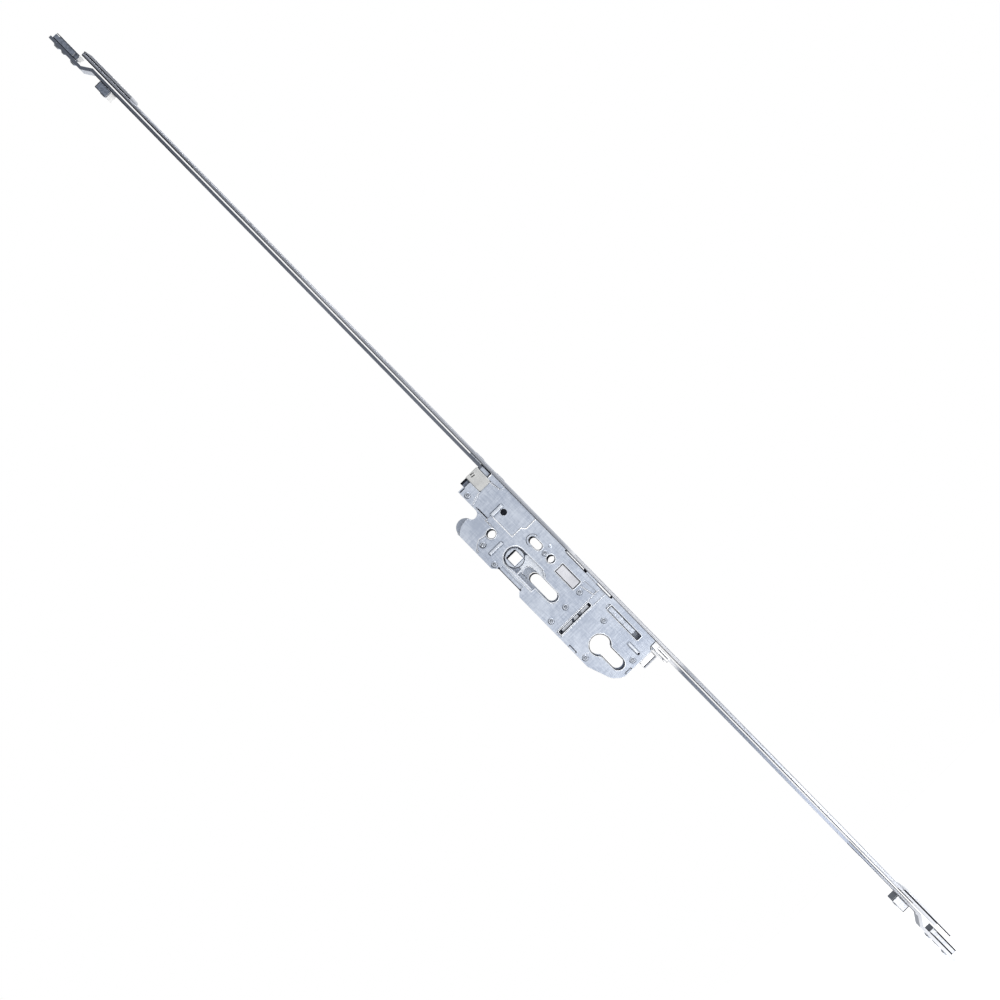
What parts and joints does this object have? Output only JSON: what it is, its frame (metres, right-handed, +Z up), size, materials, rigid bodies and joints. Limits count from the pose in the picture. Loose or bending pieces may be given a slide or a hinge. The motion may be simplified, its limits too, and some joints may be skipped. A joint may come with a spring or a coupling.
{
  "type": "panic exit lock",
  "caption": "Rod driving exit lock: long faceplate, narrow case with square spindle hub and profile cylinder cut-out, and sliding rods to the door's top and foot.",
  "frame": {"origin": "spindle axis at the middle of the case's thickness", "axes": "+Z up the door along the faceplate, +X out through the faceplate's front, -Y out of the case's cover"},
  "size_m": [0.0556, 0.016, 0.9793],
  "materials": {
    "zinc_case": "zinc plated sheet, satin, fine grain",
    "rolled_steel": "zinc plated rolled steel",
    "dark_zinc": "cast zinc, matt",
    "sintered_steel": "pressed steel",
    "pale_plastic": "moulded",
    "rivet_steel": "upset steel"
  },
  "bodies": {
    "case": {"faceplate": "rolled_steel", "case_base": "zinc_case", "case_cover": "zinc_case", "hub_spring": "rivet_steel", "pinion_pin": "rivet_steel", "lever_pin": "rivet_steel", "case_posts": "rivet_steel", "cover_rivets": "rivet_steel", "top_clip": "pale_plastic", "top_block": "dark_zinc", "bottom_block": "pale_plastic", "bottom_plate": "rolled_steel", "window_plate": "pale_plastic", "rod_spacer": "sintered_steel", "upper_end_plate": "rolled_steel", "lower_end_plate": "rolled_steel", "upper_plate_screws": "rivet_steel", "lower_plate_screw": "rivet_steel", "faceplate_screws": "rivet_steel"},
    "hub": {"hub": "sintered_steel"},
    "hub_slide": {"hub_slide": "sintered_steel"},
    "pinion": {"drive_pinion": "sintered_steel"},
    "upper_drive": {"upper_slide": "sintered_steel", "upper_drive_rod": "rolled_steel", "upper_coupling": "dark_zinc", "upper_coupling_rivets": "rivet_steel", "upper_rod_guide": "dark_zinc", "upper_guide_rivet": "rivet_steel"},
    "lower_drive": {"lower_slide": "sintered_steel", "lower_driver": "rolled_steel", "driver_rivets": "rivet_steel", "lower_drive_rod": "rolled_steel", "lower_coupling": "dark_zinc", "lower_coupling_rivets": "rivet_steel", "lower_rod_guide": "dark_zinc", "lower_guide_rivet": "rivet_steel"},
    "lock_slide": {"lock_slide": "sintered_steel"},
    "cylinder_lever": {"cylinder_lever": "sintered_steel"}
  },
  "joints": [
    {"name": "hub_turn", "type": "hinge", "parent": "case", "child": "hub", "pos_m": [0, 0, 0], "axis": [0, -1, 0], "range_deg": [0, 45], "stiffness_Nm_per_rad": 1, "springref_deg": -20.05},
    {"name": "hub_slide_travel", "type": "slide", "parent": "case", "child": "hub_slide", "axis": [0, 0, -1], "range_m": [0, 0.00713], "deforming": ["hub_spring"]},
    {"name": "pinion_turn", "type": "hinge", "parent": "case", "child": "pinion", "pos_m": [0.017, 0, -0.0525], "axis": [0, 1, 0], "range_deg": [0, 127.37]},
    {"name": "upper_rod_travel", "type": "slide", "parent": "case", "child": "upper_drive", "axis": [0, 0, -1], "range_m": [0, 0.02002]},
    {"name": "lower_rod_travel", "type": "slide", "parent": "case", "child": "lower_drive", "axis": [0, 0, 1], "range_m": [0, 0.02002]},
    {"name": "lock_slide_travel", "type": "slide", "parent": "case", "child": "lock_slide", "axis": [0, 0, -1], "range_m": [0, 0.0064]},
    {"name": "cylinder_lever_swing", "type": "hinge", "parent": "case", "child": "cylinder_lever", "pos_m": [0.0015, 0, -0.0532], "axis": [0, 1, 0], "range_deg": [0, 6]}
  ],
  "couplings": [
    {"joint": "hub_slide_travel", "follows": "hub_turn", "m_per_rad": 0.0090542},
    {"joint": "pinion_turn", "follows": "hub_turn", "ratio": 2.8294},
    {"joint": "upper_rod_travel", "follows": "hub_turn", "m_per_rad": 0.025465},
    {"joint": "lower_rod_travel", "follows": "hub_turn", "m_per_rad": 0.025465}
  ]
}
